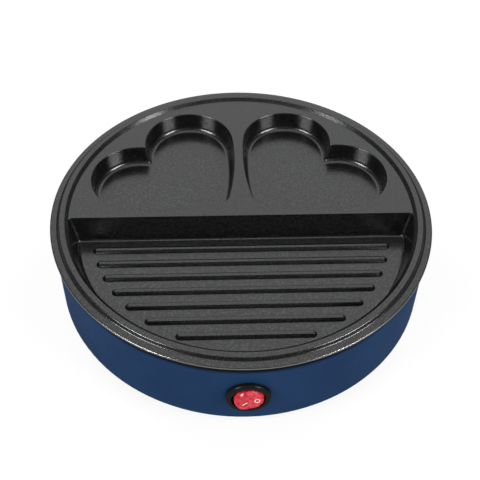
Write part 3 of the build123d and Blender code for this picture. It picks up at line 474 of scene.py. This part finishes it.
def new_recipe(name, sizes):
    """An empty node tree with a named input per size, and its inputs and output."""
    tree = bpy.data.node_groups.new(name, "GeometryNodeTree")
    for size in sizes:
        tree.interface.new_socket(name=size, in_out="INPUT", socket_type="NodeSocketFloat")
    tree.interface.new_socket(name="Geometry", in_out="OUTPUT", socket_type="NodeSocketGeometry")
    given = add(tree, "NodeGroupInput").outputs
    known = {size: given[size] for size in sizes}
    return tree, known


def work_out(tree, known, steps):
    """Add arithmetic to a tree: each step names its result, an operation and what it takes."""
    for name, operation, *takes in steps:
        inputs = {place: known.get(take, take) for place, take in enumerate(takes)}
        known[name] = add(tree, "ShaderNodeMath", {"operation": operation}, inputs).outputs[0]


def end_recipe(tree, geometry, material):
    """Close the seams of a recipe's mesh, shade it smooth and give it its finish."""
    joined = add(tree, "GeometryNodeRealizeInstances", None, {"Geometry": geometry})
    welded = add(
        tree,
        "GeometryNodeMergeByDistance",
        None,
        {"Geometry": joined.outputs[0], "Distance": seam_mm * MM},
    )
    smooth = add(tree, "GeometryNodeSetShadeSmooth", None, {"Geometry": welded.outputs[0]})
    finished = add(
        tree,
        "GeometryNodeSetMaterial",
        None,
        {"Geometry": smooth.outputs[0], "Material": material},
    )
    add(tree, "NodeGroupOutput", None, {"Geometry": finished.outputs[0]})


def cook(name, tree, sizes_mm, body):
    """Run a recipe with its sizes and keep the result as a plain mesh on a body."""
    start = bpy.data.objects.new(name + "_recipe", bpy.data.meshes.new(name + "_recipe"))
    bpy.context.scene.collection.objects.link(start)
    modifier = start.modifiers.new("recipe", "NODES")
    modifier.node_group = tree
    for socket in tree.interface.items_tree:
        if socket.in_out == "INPUT":
            modifier[socket.identifier] = sizes_mm[socket.name] * MM
    seen = start.evaluated_get(bpy.context.evaluated_depsgraph_get())
    mesh = bpy.data.meshes.new_from_object(seen)
    mesh.name = name
    bpy.data.objects.remove(start)
    shape = bmesh.new()
    shape.from_mesh(mesh)
    bmesh.ops.dissolve_degenerate(shape, dist=seam_mm * MM, edges=shape.edges)
    bmesh.ops.recalc_face_normals(shape, faces=shape.faces)
    shape.to_mesh(mesh)
    open_edges = sum(edge.is_boundary for edge in shape.edges)
    shape.free()
    piece = bpy.data.objects.new(name, mesh)
    bpy.context.scene.collection.objects.link(piece)
    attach(piece, body)
    print(name, len(mesh.vertices), "points,", len(mesh.polygons), "faces,", open_edges, "open edges")
    return piece


# %% [markdown]
# ## The ribs of the griddle
# The seven ribs keep the food off the floor of the griddle. On the real plate each is a half-round bead with a foot that flares into the floor, so it shows a pale crest between two dark flanks. The CAD rib is a slimmer block with rounded edges, and the bead is drawn over it.
# The rows follow a rule: even spacing, and ends that lie on a circle about the middle of the pan. So one recipe makes them all. It lays a flat sheet of points for each row and bends it: one way round the bead, the other way from its foot to its crest. The lowest line of the sheet is drawn in to the middle of the bead and closes it below, a hair under the floor.

# %% Ribs by a rule
rib_rows = 7
columns_round = 32
steps_up = 10

tree, known = new_recipe(
    "bead_rows",
    [
        "Circle radius",
        "First row",
        "Pitch",
        "Half width",
        "Height",
        "Foot flare",
        "End radius",
        "Floor height",
    ],
)
places = add(tree, "GeometryNodeMeshLine", {"mode": "OFFSET"}, {"Count": rib_rows, "Offset": (0, 0, 1)})
sheet = add(
    tree,
    "GeometryNodeMeshGrid",
    None,
    {"Size X": 1.0, "Size Y": 1.0, "Vertices X": columns_round + 1, "Vertices Y": steps_up + 1},
)
rows = add(
    tree,
    "GeometryNodeInstanceOnPoints",
    None,
    {"Points": places.outputs["Mesh"], "Instance": sheet.outputs["Mesh"]},
)
rows = add(tree, "GeometryNodeRealizeInstances", None, {"Geometry": rows.outputs["Instances"]})
point = add(tree, "GeometryNodeInputPosition")
parts = add(tree, "ShaderNodeSeparateXYZ", None, {0: point.outputs[0]}).outputs
known.update({"across": parts["X"], "up": parts["Y"], "row": parts["Z"]})
work_out(
    tree,
    known,
    [
        ("round", "MULTIPLY_ADD", "across", math.tau, math.pi + math.pi / columns_round),
        ("cos round", "COSINE", "round"),
        ("sin round", "SINE", "round"),
        ("side", "SIGN", "cos round"),
        ("rise", "MULTIPLY_ADD", "up", steps_up / (steps_up - 1), 0.5 - 0.5 / (steps_up - 1)),
        ("on top", "GREATER_THAN", "rise", -0.5 / steps_up),
        ("rise", "MAXIMUM", "rise", 0.0),
        ("slope", "MULTIPLY", "rise", math.pi / 2),
        ("cos slope", "COSINE", "slope"),
        ("sin slope", "SINE", "slope"),
        ("lack", "SUBTRACT", 1.0, "sin slope"),
        ("flare", "POWER", "lack", 3.0),
        ("flare", "MULTIPLY", "flare", "Foot flare"),
        ("reach", "MULTIPLY_ADD", "cos slope", "Half width", "flare"),
        ("reach", "MULTIPLY", "reach", "on top"),
        ("row y", "MULTIPLY", "row", "Pitch"),
        ("row y", "SUBTRACT", "First row", "row y"),
        ("radius squared", "MULTIPLY", "Circle radius", "Circle radius"),
        ("y squared", "MULTIPLY", "row y", "row y"),
        ("left over", "SUBTRACT", "radius squared", "y squared"),
        ("half length", "SQRT", "left over"),
        ("half length", "SUBTRACT", "half length", "End radius"),
        ("x", "MULTIPLY", "side", "half length"),
        ("x", "MULTIPLY_ADD", "reach", "cos round", "x"),
        ("y", "MULTIPLY_ADD", "reach", "sin round", "row y"),
        ("z", "MULTIPLY_ADD", "sin slope", "Height", "Floor height"),
    ],
)
bent = add(tree, "ShaderNodeCombineXYZ", None, {"X": known["x"], "Y": known["y"], "Z": known["z"]})
beads = add(
    tree,
    "GeometryNodeSetPosition",
    None,
    {"Geometry": rows.outputs["Geometry"], "Position": bent.outputs[0]},
)
end_recipe(tree, beads.outputs["Geometry"], coating)

griddle_floor_mm = 40.4
rib_circle_mm = 82.91
first_rib_mm = -15.7
last_rib_mm = -74.91
rib_end_radius_mm = 1.7
bead_half_width_mm = 1.95
bead_height_mm = 2.1
foot_flare_mm = 0.5
sunk_mm = 0.03

cook(
    "griddle_ribs",
    tree,
    {
        "Circle radius": rib_circle_mm,
        "First row": first_rib_mm,
        "Pitch": (first_rib_mm - last_rib_mm) / (rib_rows - 1),
        "Half width": bead_half_width_mm,
        "Height": bead_height_mm,
        "Foot flare": foot_flare_mm,
        "End radius": rib_end_radius_mm,
        "Floor height": griddle_floor_mm - sunk_mm,
    },
    "pan",
)

# %% [markdown]
# ## The marks on the rocker
# A rocker of this kind carries a small ring on its off side and a dash on its on side, pad-printed in white. The off side lies square to the wall when the switch is off, and the on side stands out by 20 degrees. Each mark is a thin raised film that lies on its face and turns with the rocker.
# A ring and a dash are both a flat strip along a closed path, so one recipe makes them: a curve with a small oblong as its section. The path of the dash is so narrow that its two sides lie against each other.

# %% Marks as strips along a path
corner_steps = 12

tree, known = new_recipe(
    "printed_strip",
    ["Path width", "Path height", "Corner radius", "Line width", "Film"],
)
path = add(
    tree,
    "GeometryNodeCurvePrimitiveQuadrilateral",
    {"mode": "RECTANGLE"},
    {"Width": known["Path width"], "Height": known["Path height"]},
)
rounded = add(
    tree,
    "GeometryNodeFilletCurve",
    {"mode": "POLY"},
    {
        "Curve": path.outputs[0],
        "Count": corner_steps,
        "Radius": known["Corner radius"],
        "Limit Radius": True,
    },
)
section = add(
    tree,
    "GeometryNodeCurvePrimitiveQuadrilateral",
    {"mode": "RECTANGLE"},
    {"Width": known["Line width"], "Height": known["Film"]},
)
upright = add(tree, "GeometryNodeSetCurveNormal", {"mode": "Z_UP"}, {"Curve": rounded.outputs[0]})
strip = add(
    tree,
    "GeometryNodeCurveToMesh",
    None,
    {"Curve": upright.outputs[0], "Profile Curve": section.outputs[0], "Fill Caps": True},
)
end_recipe(tree, strip.outputs[0], white_print)


def lay_on(piece, place_mm, face_right, face_out):
    """Move a flat mesh, drawn on the XY plane, onto a face: its X runs right, its Z points out."""
    right = Vector(face_right).normalized()
    out = Vector(face_out).normalized()
    up = out.cross(right)
    turn = Matrix((right, up, out)).transposed().to_4x4()
    piece.data.transform(Matrix.Translation(Vector(place_mm) * MM) @ turn)
    piece.data.update()


# The two faces of the rocker meet in an upright crease, right of the middle
film_mm = 0.06
rocker_face_y = -106.339
crease_x = 0.695
on_angle = math.radians(20)
ring_place = (4.4, rocker_face_y, 28.4)
dash_reach = 2.6
dash_place = (
    crease_x - dash_reach * math.cos(on_angle),
    rocker_face_y - dash_reach * math.sin(on_angle),
    27.2,
)
dash_lean = 0.35
dash_right = (math.cos(on_angle), math.sin(on_angle), dash_lean)
dash_out = (math.sin(on_angle), -math.cos(on_angle), 0)

ring = cook(
    "off_mark",
    tree,
    {
        "Path width": 2.3,
        "Path height": 2.8,
        "Corner radius": 1.1,
        "Line width": 0.45,
        "Film": film_mm,
    },
    "rocker",
)
lay_on(ring, ring_place, (1, 0, 0), (0, -1, 0))
dash = cook(
    "on_mark",
    tree,
    {
        "Path width": 2.6,
        "Path height": 0.34,
        "Corner radius": 0.165,
        "Line width": 0.28,
        "Film": film_mm,
    },
    "rocker",
)
lay_on(dash, dash_place, dash_right, dash_out)

# %% [markdown]
# ## The grip of the cord gland
# The gland's head is turned by hand, so its rim has fine straight ridges, as a jar lid has. They are one small round ridge, half sunk in the head, that a recipe sets round it.

# %% Grip ridges
ridge_count = 24
ridge_sides = 8
ridge_length_mm = 2.6
ridge_height_mm = 0.45
grip_end_gap_mm = 1.6
gland_low, gland_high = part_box("cord_gland")
head_radius_mm = (gland_high[0] - gland_low[0]) / 2 / MM
gland_height_mm = (gland_low[2] + gland_high[2]) / 2 / MM

tree, known = new_recipe("ridges_round_a_head", ["Head radius", "Ridge length", "Ridge height"])
circle = add(
    tree,
    "GeometryNodeMeshCircle",
    {"fill_type": "NONE"},
    {"Vertices": ridge_count, "Radius": known["Head radius"]},
)
section = add(
    tree,
    "GeometryNodeCurvePrimitiveCircle",
    {"mode": "RADIUS"},
    {"Resolution": ridge_sides, "Radius": known["Ridge height"]},
)
run = add(tree, "ShaderNodeCombineXYZ", None, {"Z": known["Ridge length"]})
axis = add(tree, "GeometryNodeCurvePrimitiveLine", {"mode": "POINTS"}, {"End": run.outputs[0]})
ridge = add(
    tree,
    "GeometryNodeCurveToMesh",
    None,
    {"Curve": axis.outputs[0], "Profile Curve": section.outputs[0], "Fill Caps": True},
)
ridges = add(
    tree,
    "GeometryNodeInstanceOnPoints",
    None,
    {"Points": circle.outputs["Mesh"], "Instance": ridge.outputs[0]},
)
end_recipe(tree, ridges.outputs["Instances"], nylon)
grip = cook(
    "gland_grip",
    tree,
    {
        "Head radius": head_radius_mm,
        "Ridge length": ridge_length_mm,
        "Ridge height": ridge_height_mm,
    },
    "pan",
)
grip_place = (0, gland_high[1] / MM - grip_end_gap_mm - ridge_length_mm, gland_height_mm)
lay_on(grip, grip_place, (1, 0, 0), (0, 1, 0))

# %% [markdown]
# ## The floor and the light
# The picture has a white ground. The world and the floor show white to the camera, and light the pan no more than a plain studio does, so that its dark colours stay dark. A faint shadow under the pan stays.
# A product photographer hangs white sheets above and behind the object, where the level faces mirror them, and leaves the rest of the room dim. That room draws the black lines along the ridge, the lip and the wells. So for reflections the world holds two soft round sheets, one above and behind and one straight above, with a dim grey round them, and it stays white for the camera.

# %% Studio world, two white sheets in a dim room
# Each sheet: its direction, the angle in degrees out to which it is white, and the angle where it ends
sheets = [((0.03, 0.67, 0.74), 24, 42), ((0.0, 0.0, 1.0), 14, 34)]
room_strength = 0.12
light_share = 0.4

world = bpy.data.worlds.new("studio")
bpy.context.scene.world = world
world.use_nodes = True
tree = world.node_tree
tree.nodes.clear()
rays = add(tree, "ShaderNodeLightPath")
towards = add(tree, "ShaderNodeTexCoord").outputs["Generated"]
sheet_strengths = []
for sheet_towards, full_angle, end_angle in sheets:
    along = add(
        tree,
        "ShaderNodeVectorMath",
        {"operation": "DOT_PRODUCT"},
        {0: towards, 1: Vector(sheet_towards).normalized()},
    )
    soft_edge = add(
        tree,
        "ShaderNodeMapRange",
        {"interpolation_type": "SMOOTHSTEP"},
        {
            "Value": along.outputs["Value"],
            "From Min": math.cos(math.radians(end_angle)),
            "From Max": math.cos(math.radians(full_angle)),
            "To Min": room_strength,
            "To Max": 1.0,
        },
    )
    sheet_strengths.append(soft_edge.outputs["Result"])
known = {
    "camera": rays.outputs["Is Camera Ray"],
    "through": rays.outputs["Is Transmission Ray"],
    "glossy": rays.outputs["Is Glossy Ray"],
    "diffuse": rays.outputs["Is Diffuse Ray"],
    "sheet behind": sheet_strengths[0],
    "sheet above": sheet_strengths[1],
}
work_out(
    tree,
    known,
    [
        ("room", "MAXIMUM", "sheet behind", "sheet above"),
        ("mirrored", "MULTIPLY", "glossy", "room"),
        ("seen", "MAXIMUM", "camera", "mirrored"),
        ("seen", "MAXIMUM", "seen", "through"),
        ("lighting", "MULTIPLY", "diffuse", light_share),
        ("strength", "MAXIMUM", "seen", "lighting"),
    ],
)
background = add(
    tree,
    "ShaderNodeBackground",
    None,
    {"Color": (1, 1, 1, 1), "Strength": known["strength"]},
)
add(tree, "ShaderNodeOutputWorld", None, {"Surface": background.outputs[0]})
print("world made")

# %% [markdown]
# ## The floor
# The floor is a pale disc, a hair below the feet so that the two faces don't fight for the same place. It is mostly a white glow, for the clean ground of the picture, with a share of plain paint near the pan that takes its shadow. The share fades to nothing farther out, so that no edge of the floor shows. In reflections the glow is dim, so the slopes that mirror the floor stay dark, as in the picture. Seen from below the disc is clear, so that one can look at the underside of the pan.

# %% Floor
floor_drop_mm = 0.1
floor_radius_mm = 3000
floor_sides = 96
glow_near_pan = 0.85
mirrored_glow = 0.15
pale_from_mm = 250
white_from_mm = 700

floor_mesh = bpy.data.meshes.new("floor")
shape = bmesh.new()
bmesh.ops.create_circle(shape, cap_ends=True, segments=floor_sides, radius=floor_radius_mm * MM)
bmesh.ops.translate(shape, verts=shape.verts, vec=(0, 0, -floor_drop_mm * MM))
shape.to_mesh(floor_mesh)
shape.free()
floor = bpy.data.objects.new("floor", floor_mesh)
bpy.context.scene.collection.objects.link(floor)

floor_paint, tree, output, place = new_material("pale_studio_floor")
distance = add(tree, "ShaderNodeVectorMath", {"operation": "LENGTH"}, {0: place})
glow_share = add(
    tree,
    "ShaderNodeMapRange",
    {"interpolation_type": "SMOOTHSTEP"},
    {
        "Value": distance.outputs["Value"],
        "From Min": pale_from_mm * MM,
        "From Max": white_from_mm * MM,
        "To Min": glow_near_pan,
        "To Max": 1.0,
    },
)
rays = add(tree, "ShaderNodeLightPath")
known = {
    "camera": rays.outputs["Is Camera Ray"],
    "through": rays.outputs["Is Transmission Ray"],
    "glossy": rays.outputs["Is Glossy Ray"],
    "glow share": glow_share.outputs["Result"],
}
work_out(
    tree,
    known,
    [
        ("direct", "MAXIMUM", "camera", "through"),
        ("glow strength", "MAXIMUM", "direct", mirrored_glow),
        ("seen", "MAXIMUM", "direct", "glossy"),
        ("share", "MULTIPLY", "seen", "glow share"),
    ],
)
paint = add(tree, "ShaderNodeBsdfDiffuse", None, {"Color": linear("f4f4f4")})
glow = add(
    tree,
    "ShaderNodeEmission",
    None,
    {"Color": (1, 1, 1, 1), "Strength": known["glow strength"]},
)
above = add(
    tree,
    "ShaderNodeMixShader",
    None,
    {0: known["share"], 1: paint.outputs[0], 2: glow.outputs[0]},
)
below = add(tree, "ShaderNodeBsdfTransparent")
from_below = add(tree, "ShaderNodeNewGeometry").outputs["Backfacing"]
both = add(
    tree,
    "ShaderNodeMixShader",
    None,
    {0: from_below, 1: above.outputs[0], 2: below.outputs[0]},
)
finish_with(tree, output, both)
floor_mesh.materials.append(floor_paint)
print("floor made")

# %% [markdown]
# ## The lamps
# Two wide soft boxes stand in front, left and right, and draw the long highlights of the lip. Two small ones hang higher, for the short bright spots on the ridge and the wells. Two large ones behind only fill the shade, so reflections leave them out.

# %% Soft boxes
pan_middle_mm = 45


def soft_box(name, place_mm, size_mm, watts, mirrored=True):
    """A rectangular area lamp that faces the middle of the pan, with or without a reflection."""
    data = bpy.data.lights.new(name, "AREA")
    data.shape = "RECTANGLE"
    data.size, data.size_y = size_mm[0] * MM, size_mm[1] * MM
    data.energy = watts
    lamp = bpy.data.objects.new(name, data)
    lamp.location = Vector(place_mm) * MM
    aim = Vector((0, 0, pan_middle_mm * MM)) - lamp.location
    lamp.rotation_euler = aim.to_track_quat("-Z", "Y").to_euler()
    lamp.visible_glossy = mirrored
    bpy.context.scene.collection.objects.link(lamp)


soft_box("box_left", (-700, -480, 560), (460, 150), 5.5)
soft_box("box_right", (700, -480, 560), (460, 150), 5.5)
soft_box("high_left", (-620, -250, 785), (160, 110), 0.8)
soft_box("high_right", (620, -250, 785), (160, 110), 0.8)
soft_box("fill_behind_left", (-620, 640, 420), (500, 400), 5.0, mirrored=False)
soft_box("fill_behind_right", (620, 640, 420), (500, 400), 5.0, mirrored=False)

# %% [markdown]
# ## The end
# The render looks as the light makes it, with no film look on top.

# %% View and the end
bpy.context.scene.view_settings.view_transform = "Standard"
